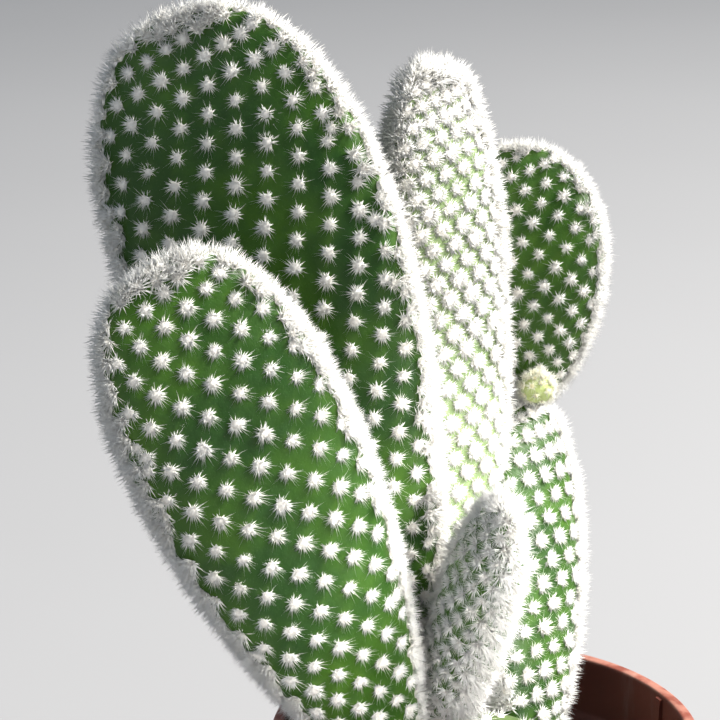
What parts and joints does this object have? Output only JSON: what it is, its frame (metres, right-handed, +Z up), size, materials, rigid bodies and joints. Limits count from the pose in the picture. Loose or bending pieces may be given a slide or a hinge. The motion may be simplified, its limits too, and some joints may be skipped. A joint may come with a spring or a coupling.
{
  "type": "potted bunny ears cactus",
  "caption": "Flat-padded bunny ears cactus with tufts of white bristles on every pad, rooted in gritty soil in a round tapered terracotta-coloured pot.",
  "frame": {"origin": "middle of the pot's flat underside", "axes": "+Z up; -Y is the front, which the plant is seen from; +X to the right seen from the front"},
  "size_m": [0.1272, 0.0981, 0.2303],
  "materials": {
    "pot_plastic": "terracotta-coloured moulded plastic with faint scuffs",
    "soil": "dry gritty potting mix",
    "old_skin": "dull green skin turning corky brown",
    "pad_skin": "satin green skin",
    "young_skin": "fresh green skin",
    "bud_skin": "soft yellow-green skin",
    "bristles": "fine white bristles"
  },
  "bodies": {
    "root": {"pot": "pot_plastic", "soil": "soil", "old_pad": "old_skin", "left_back_pad": "pad_skin", "left_front_pad": "pad_skin", "middle_pad": "pad_skin", "right_stem_pad": "pad_skin", "right_top_pad": "pad_skin", "young_pad": "young_skin", "new_bud": "bud_skin"}
  },
  "joints": []
}
